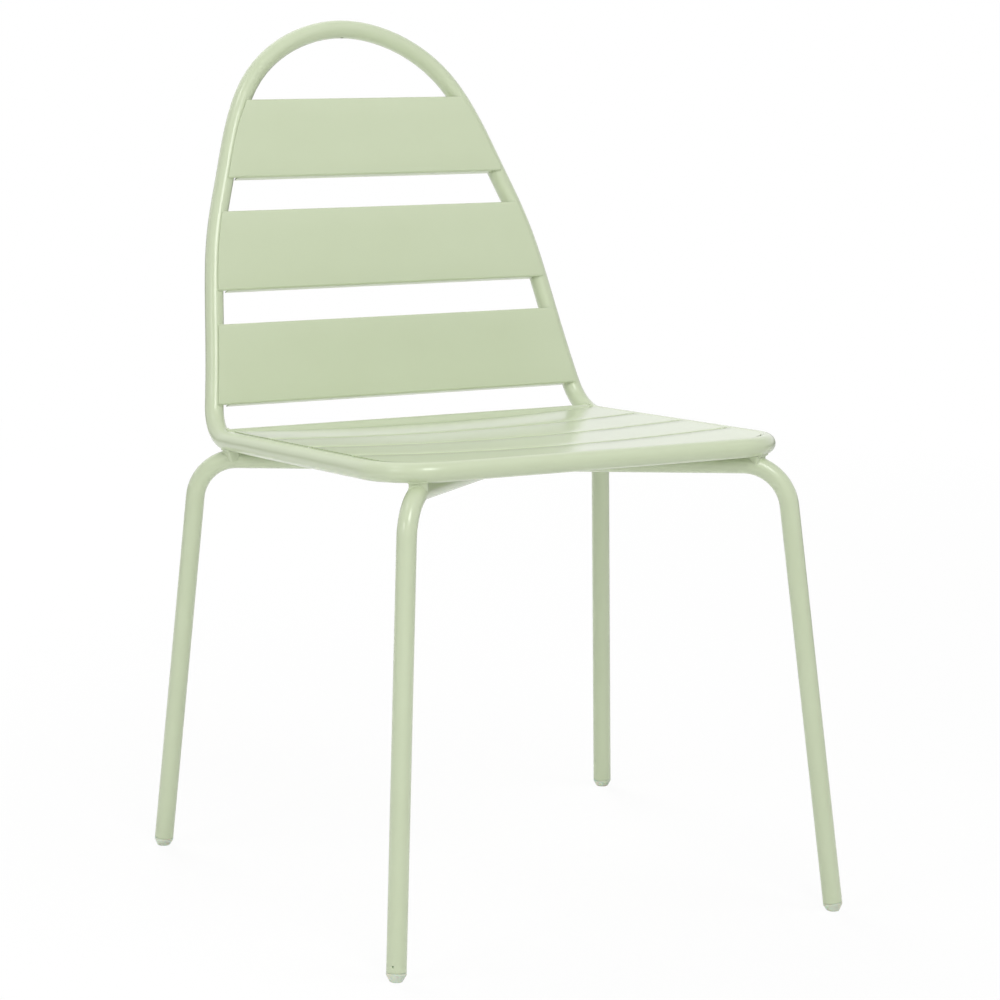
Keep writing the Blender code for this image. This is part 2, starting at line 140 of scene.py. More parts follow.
def pickVerts(piece, test):
    # edit mode: selects the vertices that pass the test
    bpy.ops.mesh.select_mode(type="VERT")
    bpy.ops.mesh.select_all(action="DESELECT")
    bpy.ops.object.mode_set(mode="OBJECT")
    for vertex in piece.data.vertices:
        vertex.select = test(vertex.co)
    bpy.ops.object.mode_set(mode="EDIT")


def pickEdges(piece, test):
    # edit mode: selects the edges whose two ends pass the test
    bpy.ops.mesh.select_mode(type="EDGE")
    bpy.ops.mesh.select_all(action="DESELECT")
    bpy.ops.object.mode_set(mode="OBJECT")
    vertices = piece.data.vertices
    for edge in piece.data.edges:
        edge.select = test(vertices[edge.vertices[0]].co, vertices[edge.vertices[1]].co)
    bpy.ops.object.mode_set(mode="EDIT")


def headingsOf(line):
    steps = [(b - a).normalized() for a, b in zip(line, line[1:])]
    return [steps[0]] + [(a + b).normalized() for a, b in zip(steps, steps[1:])] + [steps[-1]]


def drawTube(name, line, radius, ends=False, lastHeading=None):
    # a ring is extruded along the straights and spun round each turn of the line
    startFresh()
    headings = headingsOf(line)
    headings[-1] = lastHeading or headings[-1]
    bpy.ops.mesh.primitive_circle_add(vertices=tube["sides"], radius=radius, fill_type="NGON" if ends else "NOTHING",
                                      location=line[0], rotation=headings[0].to_track_quat("Z", "Y").to_euler())
    piece = bpy.context.object
    piece.name = name
    applyPlace(piece)
    bpy.ops.object.mode_set(mode="EDIT")
    bpy.ops.mesh.select_all(action="SELECT")
    for before, after, old, new in zip(line, line[1:], headings, headings[1:]):
        turn = old.angle(new)
        if turn < tube["straight"]:
            bpy.ops.mesh.extrude_region_move(TRANSFORM_OT_translate={"value": after - before})
        else:
            axis = old.cross(new).normalized()
            aside = axis * axis.dot(after - before)
            centre = (before + after - aside) / 2 + axis.cross(after - before) / (2 * math.tan(turn / 2))
            bpy.ops.mesh.spin(steps=1, angle=-turn, center=centre, axis=axis)
            bpy.ops.transform.translate(value=aside)
    bpy.ops.mesh.select_all(action="SELECT")
    bpy.ops.mesh.remove_doubles(threshold=samePlace / 10)
    bpy.ops.mesh.normals_make_consistent(inside=False)
    bpy.ops.object.mode_set(mode="OBJECT")
    return piece


def drawLoop(name, radius):
    # the loop's left half, mirrored
    piece = drawTube(name, loopLine, radius, lastHeading=-across)
    applyModifier(piece, "MIRROR", use_clip=True, merge_threshold=samePlace)
    return piece


def hollowOut(piece):
    applyModifier(piece, "SOLIDIFY", thickness=tube["wall"], offset=-1.0)


def cutBy(piece, tool, operation="DIFFERENCE", keepTool=False):
    applyModifier(piece, "BOOLEAN", object=tool, operation=operation, solver="EXACT")
    if not keepTool:
        bpy.data.objects.remove(tool, do_unlink=True)


def drill(piece, middle, heading, radius, depth, sides=20):
    startFresh()
    bpy.ops.mesh.primitive_cylinder_add(vertices=sides, radius=radius, depth=depth, location=middle,
                                        rotation=heading.to_track_quat("Z", "Y").to_euler())
    cutBy(piece, bpy.context.object)


def clearAway(tools):
    for tool in tools:
        bpy.data.objects.remove(tool, do_unlink=True)


def smoothShade(piece, angle=32):
    pickOnly(piece)
    bpy.ops.object.shade_smooth_by_angle(angle=math.radians(angle))


def joinPieces(name, pieces):
    pickOnly(*pieces)
    bpy.ops.object.join()
    pieces[0].name = name
    return pieces[0]


def placed(origin, right, up):
    return Matrix.Translation(origin) @ Matrix((right, up, right.cross(up))).transposed().to_4x4()


def sampled(line, step=0.001):
    points = []
    for a, b in zip(line, line[1:]):
        count = max(1, round((b - a).length / step))
        points += [a.lerp(b, i / count) for i in range(count)]
    return points


def treeOf(line):
    points = sampled(line)
    tree = KDTree(len(points))
    for i, point in enumerate(points):
        tree.insert(point, i)
    tree.balance()
    return tree


def finished(piece, slotName, *nodes):
    piece.data.materials.clear()
    piece.data.materials.append(finishes[slotName])
    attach(piece, "root")
    if nodes:
        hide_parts(*nodes)


# Shaders

class Socket:
    # wraps one output, so that shader maths reads as sums
    def __init__(self, shader, link):
        self.shader = shader
        self.link = link

    def maths(self, operation, other):
        node = self.shader.tree.nodes.new("ShaderNodeMath")
        node.operation = operation
        self.shader.feed(node.inputs[0], self)
        self.shader.feed(node.inputs[1], other)
        return Socket(self.shader, node.outputs[0])

    def __add__(self, other):
        return self.maths("ADD", other)

    def __radd__(self, other):
        return self + other

    def __sub__(self, other):
        return self.maths("SUBTRACT", other)

    def __mul__(self, other):
        return self.maths("MULTIPLY", other)


class Shader:
    def __init__(self, name, **values):
        self.material = bpy.data.materials.new(name)
        self.material.use_nodes = True
        self.tree = self.material.node_tree
        self.surface = self.tree.nodes["Principled BSDF"]
        self.dress(**values)

    def feed(self, socket, value):
        if isinstance(value, Socket):
            self.tree.links.new(value.link, socket)
        else:
            socket.default_value = value

    def dress(self, **values):
        for key, value in values.items():
            self.feed(self.surface.inputs[key.replace("_", " ")], value)

    def node(self, kind, settings=None, output=0, **values):
        node = self.tree.nodes.new("ShaderNode" + kind)
        for key, value in (settings or {}).items():
            setattr(node, key, value)
        for key, value in values.items():
            self.feed(node.inputs[key.replace("_", " ")], value)
        return Socket(self, node.outputs[output])

    def blend(self, share, first, second):
        # a mix of colours has its share in socket 0, the colours in 6 and 7 and the result in 2
        mixed = self.node("Mix", {"data_type": "RGBA"}, output=2)
        for i, value in ((0, share), (6, first), (7, second)):
            self.feed(mixed.link.node.inputs[i], value)
        return mixed


def hexColour(text):
    # an sRGB colour such as "c4cfb0" as the linear one that a socket takes
    values = [int(text[i:i + 2], 16) / 255 for i in (0, 2, 4)]
    return (*(v / 12.92 if v <= 0.04045 else ((v + 0.055) / 1.055) ** 2.4 for v in values), 1.0)


coat = {"colour": "c8d3b4", "shade": "c1ccab", "shadeSpread": 0.9, "shadeShare": 0.4, "roughness": 0.36,
        "gloss": 0.21, "cloudScale": 9.0, "waveScale": 140.0, "peelScale": 900.0, "peelDepth": 0.00004}


def powderCoat():
    # a clear gloss over pale sage that drifts a little in tone, with a fine orange peel
    shader = Shader("powderCoat", Metallic=0.0, Coat_Weight=1.0, Coat_Roughness=coat["gloss"], Coat_IOR=1.5,
                    Specular_IOR_Level=0.25)
    place = shader.node("TexCoord", output=3)
    cloud = shader.node("TexNoise", Vector=place, Scale=coat["cloudScale"], Detail=3.0)
    peel = shader.node("TexNoise", Vector=place, Scale=coat["peelScale"], Detail=2.0, Roughness=0.5)
    wave = shader.node("TexNoise", Vector=place, Scale=coat["waveScale"], Detail=2.0)
    share = (cloud - 0.5) * coat["shadeSpread"] + coat["shadeShare"]
    shader.dress(Base_Color=shader.blend(share, hexColour(coat["colour"]), hexColour(coat["shade"])),
                 Roughness=coat["roughness"] + (wave - 0.5) * 0.06 + (cloud - 0.5) * 0.05,
                 Normal=shader.node("Bump", Strength=0.25, Distance=coat["peelDepth"], Height=peel + wave * 1.5))
    return shader.material


plastic = {"colour": "d6ddcb", "shade": "cbd3c0", "roughness": 0.38, "cloudScale": 60.0, "grainScale": 1600.0,
           "grainDepth": 0.00003}


def footPlastic():
    # pale moulded plastic that lets a little light in
    shader = Shader("footPlastic", Subsurface_Weight=0.25, Subsurface_Scale=0.004)
    place = shader.node("TexCoord", output=3)
    cloud = shader.node("TexNoise", Vector=place, Scale=plastic["cloudScale"], Detail=2.0)
    grain = shader.node("TexNoise", Vector=place, Scale=plastic["grainScale"], Detail=2.0)
    shader.dress(Base_Color=shader.blend(cloud, hexColour(plastic["colour"]), hexColour(plastic["shade"])),
                 Roughness=plastic["roughness"] + (grain - 0.5) * 0.12,
                 Normal=shader.node("Bump", Strength=0.2, Distance=plastic["grainDepth"], Height=grain))
    return shader.material


finishes = {"powder_coat": powderCoat(), "foot_plastic": footPlastic()}
print("materials are ready")


# The loop: one tube for the seat's rails and the back

vent = {"radius": 0.0021, "depth": 0.012, "sides": 24}

loop = drawLoop("seatAndBackLoop", tube["radius"])
hollowOut(loop)
drill(loop, arch[-1] - backUp * tube["radius"], backUp, vent["radius"], vent["depth"], vent["sides"])
smoothShade(loop)
finished(loop, "powder_coat", "seat_back_loop")
print("loop is bent")


# Legs: two hoops that cross under the seat, the second one in halves on either side of the first

legs = {"frontFoot": (0.2437, -0.312587, 0.0), "frontShoulder": (0.2077, -0.247087, 0.43801),
        "rearShoulder": (0.2369, 0.144072, 0.405869), "rearFoot": (0.2651, 0.160572, 0.0),
        "bend": 0.0455, "capHeight": 0.0078, "drainRadius": 0.001, "drainHeight": 0.0062}

frontFoot, frontShoulder = Vector(legs["frontFoot"]), Vector(legs["frontShoulder"])
rearFoot, rearShoulder = Vector(legs["rearFoot"]), Vector(legs["rearShoulder"])


def legEnd(foot, shoulder):
    return foot + (shoulder - foot).normalized() * (legs["capHeight"] + fit)


farFoot, farShoulder = mirroredLine([rearFoot, rearShoulder])    # the hoop ends on the sitter's right
hoopCorners = [legEnd(frontFoot, frontShoulder), frontShoulder, farShoulder, legEnd(farFoot, farShoulder)]
crossing = hoopCorners[1].lerp(hoopCorners[2], hoopCorners[1].x / (hoopCorners[1].x - hoopCorners[2].x))
hoopLine = roundedLine(hoopCorners, (legs["bend"], legs["bend"]))
frontHalfLine = mirroredLine(roundedLine(hoopCorners[:2] + [crossing], (legs["bend"],)))
rearHalfLine = mirroredLine(roundedLine([crossing] + hoopCorners[2:], (legs["bend"],)))


def drillDrain(leg, end, above, outward):
    up = (above - end).normalized()
    out = (outward - up * outward.dot(up)).normalized()
    drill(leg, end + up * legs["drainHeight"] + out * tube["radius"], out, legs["drainRadius"], tube["radius"])


hoopRoom = drawTube("hoopRoom", hoopLine, tube["radius"] + fit, ends=True)
for name, line, ends, node in (("legHoopWhole", hoopLine, (0, -1), "leg_hoop_whole"),
                               ("legHoopFrontHalf", frontHalfLine, (0,), "leg_hoop_front_half"),
                               ("legHoopRearHalf", rearHalfLine, (-1,), "leg_hoop_rear_half")):
    leg = drawTube(name, line, tube["radius"])
    hollowOut(leg)
    if name != "legHoopWhole":
        cutBy(leg, hoopRoom, keepTool=True)
    for end in ends:
        fromEnd = line if end == 0 else line[::-1]
        drillDrain(leg, fromEnd[0], fromEnd[1], fromEnd[0] - fromEnd[-1])
    smoothShade(leg)
    finished(leg, "powder_coat", node)
print("legs are bent")


# Slats: sheet with both long edges folded over, trimmed to an outline and to the tube

def foldSheet(name, halfSpan, width, slats, place):
    # a flat grid, dished column by column, its long edges drawn down and their folds rounded
    def level(x):
        return slats["dish"] * ((x / halfSpan) ** 2 - 1)

    def onFold(a, b):
        return (abs(a.y - b.y) < samePlace and min(abs(a.y), abs(a.y - width)) < samePlace
                and all(abs(p.z - level(p.x)) < samePlace for p in (a, b)))

    startFresh()
    bpy.ops.mesh.primitive_grid_add(x_subdivisions=slats["columns"], y_subdivisions=4, size=1,
                                    location=(0, width / 2, 0))
    piece = bpy.context.object
    piece.name = name
    piece.scale = (2 * halfSpan, width, 1)
    applyPlace(piece)
    bpy.ops.object.mode_set(mode="EDIT")
    if slats["dish"]:
        for i in range(slats["columns"] + 1):
            x = halfSpan * (2 * i / slats["columns"] - 1)
            pickVerts(piece, lambda co: abs(co.x - x) < samePlace)
            bpy.ops.transform.translate(value=(0, 0, level(x)))
    for edge in (0, width):
        pickEdges(piece, lambda a, b: abs(a.y - edge) < samePlace and abs(b.y - edge) < samePlace)
        bpy.ops.mesh.extrude_region_move(TRANSFORM_OT_translate={"value": (0, 0, -slats["flange"])})
    pickEdges(piece, onFold)
    bpy.ops.mesh.bevel(offset=slats["fold"], segments=metalSheet["foldSteps"], profile=0.5)
    bpy.ops.mesh.select_all(action="SELECT")
    bpy.ops.mesh.normals_make_consistent(inside=False)
    bpy.ops.object.mode_set(mode="OBJECT")
    if max(piece.data.polygons, key=lambda face: face.area).normal.z < 0:
        piece.data.flip_normals()
    applyModifier(piece, "SOLIDIFY", thickness=metalSheet["thickness"], offset=-1.0, use_even_offset=True)
    piece.matrix_world = place
    applyPlace(piece)
    return piece


def outlinePlate(name, corners, place):
    # a thick plate over a flat outline, which the sheets are trimmed to
    startFresh()
    bpy.ops.mesh.primitive_circle_add(vertices=len(corners), radius=1, fill_type="NGON")
    piece = bpy.context.object
    piece.name = name
    for vertex, corner in zip(piece.data.vertices, corners):
        vertex.co = (corner[0], corner[1], -metalSheet["trimDepth"] / 2)
    bpy.ops.object.mode_set(mode="EDIT")
    bpy.ops.mesh.select_all(action="SELECT")
    bpy.ops.mesh.extrude_region_move(TRANSFORM_OT_translate={"value": (0, 0, metalSheet["trimDepth"])})
    bpy.ops.mesh.select_all(action="SELECT")
    bpy.ops.mesh.normals_make_consistent(inside=False)
    bpy.ops.object.mode_set(mode="OBJECT")
    piece.matrix_world = place
    applyPlace(piece)
    return piece


# Back slats: faces that lie on the front of the tube, with folds that stop short of it

backSlats = {"names": ("Bottom", "Middle", "Top"), "start": 0.0312, "height": 0.0839, "gap": 0.0345,
             "flange": 0.0105, "fold": 0.0024, "dish": 0, "columns": 8, "overhang": 0.03, "standoff": 0.0004,
             "foldRoom": 0.0012}
slatEnds = {"pullFrom": 0.29, "pullOver": 0.062, "pull": 0.0024, "archFrom": 0.36, "archPull": 0.003}
foldNotch = {"size": 0.0132, "lessEach": 0.001, "width": 0.012, "under": 0.0014, "depth": 0.03}


def heightUp(point):
    return (point - rearMiddle).dot(backUp)


def loopAt(up):
    # the loop's centre line on the sitter's left, at a height along the back
    return next(a.lerp(b, (up - heightUp(a)) / (heightUp(b) - heightUp(a)))
                for a, b in zip(loopLine, loopLine[1:]) if heightUp(a) <= up < heightUp(b))


def slatEnd(point):
    # the slats end over the tube's centre line, and draw back from it towards the arch
    up = heightUp(point)
    pull = slatEnds["pull"] * max(0, (up - slatEnds["pullFrom"]) / slatEnds["pullOver"]) ** 2
    return point.x - (pull if up < slatEnds["archFrom"] else slatEnds["archPull"]), up


def notchFold(slat, end, edge, size, place):
    # clears the end of a fold, so that the face alone lies on the tube
    startFresh()
    bpy.ops.mesh.primitive_cube_add(size=1)
    tool = bpy.context.object
    tool.matrix_world = (place @ Matrix.Translation((end, edge, -foldNotch["under"] - foldNotch["depth"] / 2))
                         @ Matrix.Diagonal((2 * size, foldNotch["width"], foldNotch["depth"], 1)))
    applyPlace(tool)
    cutBy(slat, tool)


backOutline = [slatEnd(p) for p in loopLine
               if heightUp(p) > 0 and abs((p - rearMiddle).dot(backForward)) < samePlace * 10]
backOutline.insert(0, (backOutline[0][0], 0.0))
backOutline += [(-x, up) for x, up in reversed(backOutline[:-1])]
backPlate = outlinePlate("backPlate", backOutline, placed(rearMiddle, across, backUp))
foldRoom = drawLoop("foldRoom", tube["radius"] + fit + backSlats["foldRoom"])
foldRoom.location = -backForward * backSlats["foldRoom"]
applyPlace(foldRoom)
slatFront = tube["radius"] + backSlats["standoff"] + metalSheet["thickness"]

for i, name in enumerate(backSlats["names"]):
    up = backSlats["start"] + i * (backSlats["height"] + backSlats["gap"])
    slatPlace = placed(rearMiddle + backUp * up + backForward * slatFront, across, backUp)
    slat = foldSheet("backSlat" + name, halfWidth + backSlats["overhang"], backSlats["height"], backSlats, slatPlace)
    cutBy(slat, backPlate, "INTERSECT", keepTool=True)
    cutBy(slat, foldRoom, keepTool=True)
    for edge in (0, backSlats["height"]):
        for side in (1, -1):
            notchFold(slat, side * loopAt(up + edge).x, edge, foldNotch["size"] - foldNotch["lessEach"] * i,
                      slatPlace)
    smoothShade(slat)
    finished(slat, "powder_coat", "back_slat_" + name.lower())
clearAway((backPlate, foldRoom))
print("back slats are folded")


# Seat slats: dished sheets between the rails, with round reliefs at the ends of the gaps

seatSlats = {"names": ("Front", "Second", "Third", "Rear"), "gap": 0.004, "flange": 0.009, "fold": 0.0014,
             "dish": 0.0055, "columns": 48, "endInset": 0.007, "cornerLess": 0.009, "frontGap": 0.0008,
             "rearGap": 0.002, "crossTube": 0.024, "railRoom": 0.0005, "relief": 0.0024, "reliefIn": 0.6,
             "reliefDepth": 0.05}

reach = halfWidth - seatSlats["endInset"]
seatBend = seat["frontCorner"] - seatSlats["endInset"] - seatSlats["cornerLess"]
seatCorners = [Vector((side * reach, along, 0)) for side, along in
               ((1, seat["depth"]), (1, seatSlats["endInset"]), (-1, seatSlats["endInset"]), (-1, seat["depth"]))]
seatPlate = outlinePlate("seatPlate", [(p.x, p.y) for p in roundedLine(seatCorners, (seatBend, seatBend))],
                         placed(frontMiddle, across, seatBackward))
railRoom = drawLoop("railRoom", tube["radius"] + fit + seatSlats["railRoom"])
firstEdge = tube["radius"] + seatSlats["frontGap"]
lastEdge = seat["depth"] - seatSlats["crossTube"] - tube["radius"] - seatSlats["rearGap"]
slatWidth = (lastEdge - firstEdge - 3 * seatSlats["gap"]) / 4


def drillReliefs(slat, along):
    aside = reach - seatSlats["relief"] * seatSlats["reliefIn"]
    for side in (1, -1):
        middle = frontMiddle + seatBackward * along + across * side * aside
        drill(slat, middle, seatNormal, seatSlats["relief"], seatSlats["reliefDepth"])


for i, name in enumerate(seatSlats["names"]):
    along = firstEdge + i * (slatWidth + seatSlats["gap"])
    slatPlace = placed(frontMiddle + seatBackward * along + seatNormal * tube["radius"], across, seatBackward)
    slat = foldSheet("seatSlat" + name, reach + fit, slatWidth, seatSlats, slatPlace)
    cutBy(slat, seatPlate, "INTERSECT", keepTool=True)
    cutBy(slat, railRoom, keepTool=True)
    for gap in range(max(i - 1, 0), min(i + 1, 3)):
        drillReliefs(slat, firstEdge + (gap + 1) * slatWidth + (gap + 0.5) * seatSlats["gap"])
    smoothShade(slat)
    finished(slat, "powder_coat", "seat_slat_" + name.lower())
clearAway((seatPlate, railRoom))
print("seat slats are folded")


# Cross tube under the back, its ends cut to the rails

loopRoom = drawLoop("loopRoom", tube["radius"] + fit)
crossAlong = seat["depth"] - seatSlats["crossTube"]
before, after = next((a, b) for a, b in zip(loopLine, loopLine[1:])
                     if (a - frontMiddle).dot(seatBackward) <= crossAlong < (b - frontMiddle).dot(seatBackward))
share = (crossAlong - (before - frontMiddle).dot(seatBackward)) / (after - before).dot(seatBackward)
crossEnd = before.lerp(after, share)
crossLine = [crossEnd, *mirroredLine([crossEnd])]
crossTube = drawTube("rearCrossTube", crossLine, tube["radius"])
hollowOut(crossTube)
cutBy(crossTube, loopRoom, keepTool=True)
smoothShade(crossTube)
finished(crossTube, "powder_coat", "rear_cross_tube")
print("cross tube is set")


# Saddles between the loop and the legs, each as long, as wide and as far ahead of where the tubes touch

saddles = {"height": 0.016, "edge": 0.0022, "edgeSteps": 5,
           "front": (0.0178, 0.0116, 0.0), "rear": (0.0165, 0.0120, 0.0055)}

leftRail, rightRail = loopLine, mirroredLine(loopLine)
saddleSeats = {"FrontLeft": (hoopLine, leftRail, saddles["front"]),
               "RearRight": (hoopLine, rightRail, saddles["rear"]),
               "FrontRight": (frontHalfLine, rightRail, saddles["front"]),
               "RearLeft": (rearHalfLine, leftRail, saddles["rear"])}


def saddleFrame(leg, rail, size):
    # a saddle's middle, the way along the rail and the way up from the leg to the rail
    below, above, tree = sampled(leg), sampled(rail), treeOf(rail)
    found = [tree.find(point) for point in below]
    first = min(range(len(below)), key=lambda i: found[i][2])
    index = found[first][1]
    low, high = below[first], above[index]
    along = (above[min(index + 1, len(above) - 1)] - above[max(index - 1, 0)]).normalized()
    up = (high - low).normalized()
    run = (along - up * along.dot(up)).normalized()
    return (low + high) / 2 - run * size[2], run, up


def addSaddle(where, node, rooms):
    leg, rail, size = saddleSeats[where]
    middle, run, up = saddleFrame(leg, rail, size)
    startFresh()
    bpy.ops.mesh.primitive_cube_add(size=1)
    piece = bpy.context.object
    piece.name = "saddle" + where
    piece.scale = (size[0], size[1], saddles["height"])
    applyPlace(piece)
    bpy.ops.object.mode_set(mode="EDIT")
    pickEdges(piece, lambda a, b: abs(a.z - b.z) > samePlace)
    bpy.ops.mesh.bevel(offset=saddles["edge"], segments=saddles["edgeSteps"])
    bpy.ops.object.mode_set(mode="OBJECT")
    piece.matrix_world = placed(middle, run, up.cross(run))
    applyPlace(piece)
    for room in rooms:
        cutBy(piece, room, keepTool=True)
    smoothShade(piece)
    finished(piece, "powder_coat", node)


frontRoom = drawTube("frontRoom", frontHalfLine, tube["radius"] + fit, ends=True)
rearRoom = drawTube("rearRoom", rearHalfLine, tube["radius"] + fit, ends=True)
crossRoom = drawTube("crossRoom", crossLine, tube["radius"] + fit, ends=True)
addSaddle("FrontLeft", "corner_spacer_front_left", (loopRoom, hoopRoom))
addSaddle("RearRight", "corner_spacer_rear_right", (loopRoom, hoopRoom, crossRoom))
addSaddle("FrontRight", "corner_spacer_front_right", (loopRoom, frontRoom))
addSaddle("RearLeft", "corner_spacer_rear_left", (loopRoom, rearRoom, crossRoom))
clearAway((loopRoom, hoopRoom, frontRoom, rearRoom, crossRoom))
print("saddles are cut")


# Welds: overlapping drops of metal, fused and smoothed

weld = {"radius": 0.0013, "thin": 0.0010, "step": 0.0011, "ripple": 0.12, "rippleTurn": 2.4, "voxel": 0.00035,
        "slide": 0.0002, "touch": 0.0001, "ringBack": 0.02, "ringStep": 1.6, "saddleShare": 0.94,
        "saddleReach": 0.006, "cornerIn": 0.0006, "cornerTurns": range(48, 79, 6)}
seatWeld = {"shares": (0.25, 0.75), "drops": 6, "afterCorner": 0.01, "up": 0.0052, "railShare": 0.86}
beads = []


def layBead(points, radius=weld["radius"]):
    drops = []
    for i, point in enumerate(points):
        startFresh()
        size = radius * (1 + weld["ripple"] * math.sin(i * weld["rippleTurn"]))
        bpy.ops.mesh.primitive_uv_sphere_add(segments=12, ring_count=8, radius=size, location=point)
        drops.append(bpy.context.object)
    bead = joinPieces("bead", drops)
    applyPlace(bead)
    applyModifier(bead, "REMESH", mode="VOXEL", voxel_size=weld["voxel"])
    applyModifier(bead, "SMOOTH", factor=0.5, iterations=2)
    beads.append(bead)


def slideOnto(points, heading, tree, out, far):
    # moves each point along the heading until a tube's surface is met, and drops those that miss it
    met = []
    for point in points:
        for i in range(round(far / weld["slide"])):
            moved = point + heading * weld["slide"] * i
            if (tree.find(moved)[0] - moved).length < tube["radius"] + out:
                met.append(moved)
                break
    return met


def ringBead(end, inward, tree):
    # round the end of a tube that meets another
    aside = inward.orthogonal().normalized()
    count = round(2 * math.pi * tube["radius"] / (weld["step"] * weld["ringStep"]))
    points = [end - inward * weld["ringBack"]
              + Matrix.Rotation(2 * math.pi * i / count, 3, inward) @ aside * tube["radius"] for i in range(count)]
    layBead(slideOnto(points, inward, tree, weld["radius"] / 2, weld["ringBack"] * 1.5))


def saddleBeads(leg, rail, size):
    # along both sides of a saddle, up at the rail and down at the leg
    middle, run, up = saddleFrame(leg, rail, size)
    railSpine, legSpine = treeOf(rail), treeOf(leg)
    steps = round(size[0] / weld["step"])
    for side in (1, -1):
        edge = middle + up.cross(run) * side * size[1] / 2
        spread = [edge + run * size[0] * weld["saddleShare"] * (i / steps - 0.5) for i in range(steps + 1)]
        layBead(slideOnto(spread, up, railSpine, weld["touch"], weld["saddleReach"]))
        layBead(slideOnto(spread, -up, legSpine, weld["touch"], weld["saddleReach"]), weld["thin"])


railTree, hoopTree = treeOf(leftRail + rightRail[::-1]), treeOf(hoopLine)
for side in (1, -1):
    ringBead(Vector((crossEnd.x * side, crossEnd.y, crossEnd.z)), across * side, railTree)
ringBead(frontHalfLine[-1], headingsOf(frontHalfLine)[-1], hoopTree)
ringBead(rearHalfLine[0], -headingsOf(rearHalfLine)[0], hoopTree)
for leg, rail, size in saddleSeats.values():
    saddleBeads(leg, rail, size)

# behind the corners of the back slats, where the face meets the tube
arc = [Matrix.Rotation(math.radians(turn), 3, backUp) @ -across * tube["radius"] for turn in weld["cornerTurns"]]
for i in range(len(backSlats["names"])):
    low = backSlats["start"] + i * (backSlats["height"] + backSlats["gap"])
    for up in (low + weld["cornerIn"], low + backSlats["height"] - weld["cornerIn"]):
        corner = [loopAt(up) + p for p in arc]
        layBead(corner, weld["thin"])
        layBead(mirroredLine(corner), weld["thin"])

# under the ends of the seat slats
for i in range(len(seatSlats["names"])):
    for share in seatWeld["shares"]:
        along = firstEdge + i * (slatWidth + seatSlats["gap"]) + slatWidth * share
        if along > seatBend + seatWeld["afterCorner"]:
            under = frontMiddle + seatBackward * along + seatNormal * seatWeld["up"]
            for side in (1, -1):
                spot = under + across * side * (halfWidth - tube["radius"] * seatWeld["railShare"])
                layBead([spot + seatBackward * (k - (seatWeld["drops"] - 1) / 2) * weld["step"]
                         for k in range(seatWeld["drops"])])

welds = joinPieces("welds", beads)
smoothShade(welds, 80)
finished(welds, "powder_coat")
print("welds are laid")


# Foot caps: plugs with a tapered foot, drawn up ring by ring and levelled by the floor

cap = {"tip": 0.0056, "proud": 0.0012, "shoulder": 0.0058, "lip": 0.0004, "plug": 0.014,
       "shoulderRound": ((0.0005, -0.0008), (0.0001, -0.0001), (0.0, 0.0006))}


def addCap(name, node, foot, above):
    wide, top = tube["radius"], legs["capHeight"]
    plugWide, plugTop = wide - tube["wall"] - fit, top + cap["plug"]
    rings = [(cap["tip"], -cap["proud"]),
             *((wide - less, cap["shoulder"] + up) for less, up in cap["shoulderRound"]),
             (wide, top - cap["lip"]), (wide - cap["lip"] * 0.3, top - cap["lip"] * 0.3), (wide - cap["lip"], top),
             (plugWide, top), (plugWide, plugTop - tube["wall"]), (plugWide - tube["wall"], plugTop)]
    startFresh()
    bpy.ops.mesh.primitive_circle_add(vertices=tube["sides"], radius=1, fill_type="NGON")
    piece = bpy.context.object
    piece.name = name
    bpy.ops.object.mode_set(mode="EDIT")
    bpy.ops.mesh.select_all(action="SELECT")
    bpy.ops.transform.translate(value=(0, 0, rings[0][1]))
    bpy.ops.transform.resize(value=(rings[0][0], rings[0][0], 1))
    for (radius, level), (nextRadius, nextLevel) in zip(rings, rings[1:]):
        bpy.ops.mesh.extrude_region_move(TRANSFORM_OT_translate={"value": (0, 0, nextLevel - level)})
        bpy.ops.transform.resize(value=(nextRadius / radius, nextRadius / radius, 1))
    bpy.ops.object.mode_set(mode="OBJECT")
    piece.location = foot
    piece.rotation_euler = (above - foot).to_track_quat("Z", "Y").to_euler()
    applyPlace(piece)
    bpy.ops.object.mode_set(mode="EDIT")
    bpy.ops.mesh.select_all(action="SELECT")
    bpy.ops.mesh.normals_make_consistent(inside=False)
    bpy.ops.mesh.bisect(plane_co=(0, 0, 0), plane_no=(0, 0, 1), clear_inner=True, use_fill=True)
    bpy.ops.object.mode_set(mode="OBJECT")
    smoothShade(piece, 40)
    finished(piece, "foot_plastic", node)


addCap("footCapFrontLeft", "foot_cap_front_left", frontFoot, frontShoulder)
addCap("footCapRearLeft", "foot_cap_rear_left", rearFoot, rearShoulder)
addCap("footCapFrontRight", "foot_cap_front_right", *mirroredLine([frontFoot, frontShoulder]))
addCap("footCapRearRight", "foot_cap_rear_right", farFoot, farShoulder)
print("feet are capped")


# Camera, lights and floor

view = {"place": (-1.6122, -2.8544, 1.0224), "turn": -29.94, "down": 11.208, "roll": 1.575, "lens": 119.34,
        "sensor": 36, "farthest": 50}


def setCamera():
    a, e, r = (math.radians(view[key]) for key in ("turn", "down", "roll"))
    outward = Vector((math.sin(a) * math.cos(e), -math.cos(a) * math.cos(e), math.sin(e)))
    level = Vector((math.cos(a), math.sin(a), 0))
    above = outward.cross(level)
    right = level * math.cos(r) + above * math.sin(r)
    up = above * math.cos(r) - level * math.sin(r)
    turn = Matrix((right, up, outward)).transposed()
    bpy.ops.object.camera_add(location=view["place"], rotation=turn.to_euler())
    camera = bpy.context.object
    camera.data.sensor_width = view["sensor"]
    camera.data.lens = view["lens"]
    camera.data.clip_end = view["farthest"]
    bpy.context.scene.camera = camera


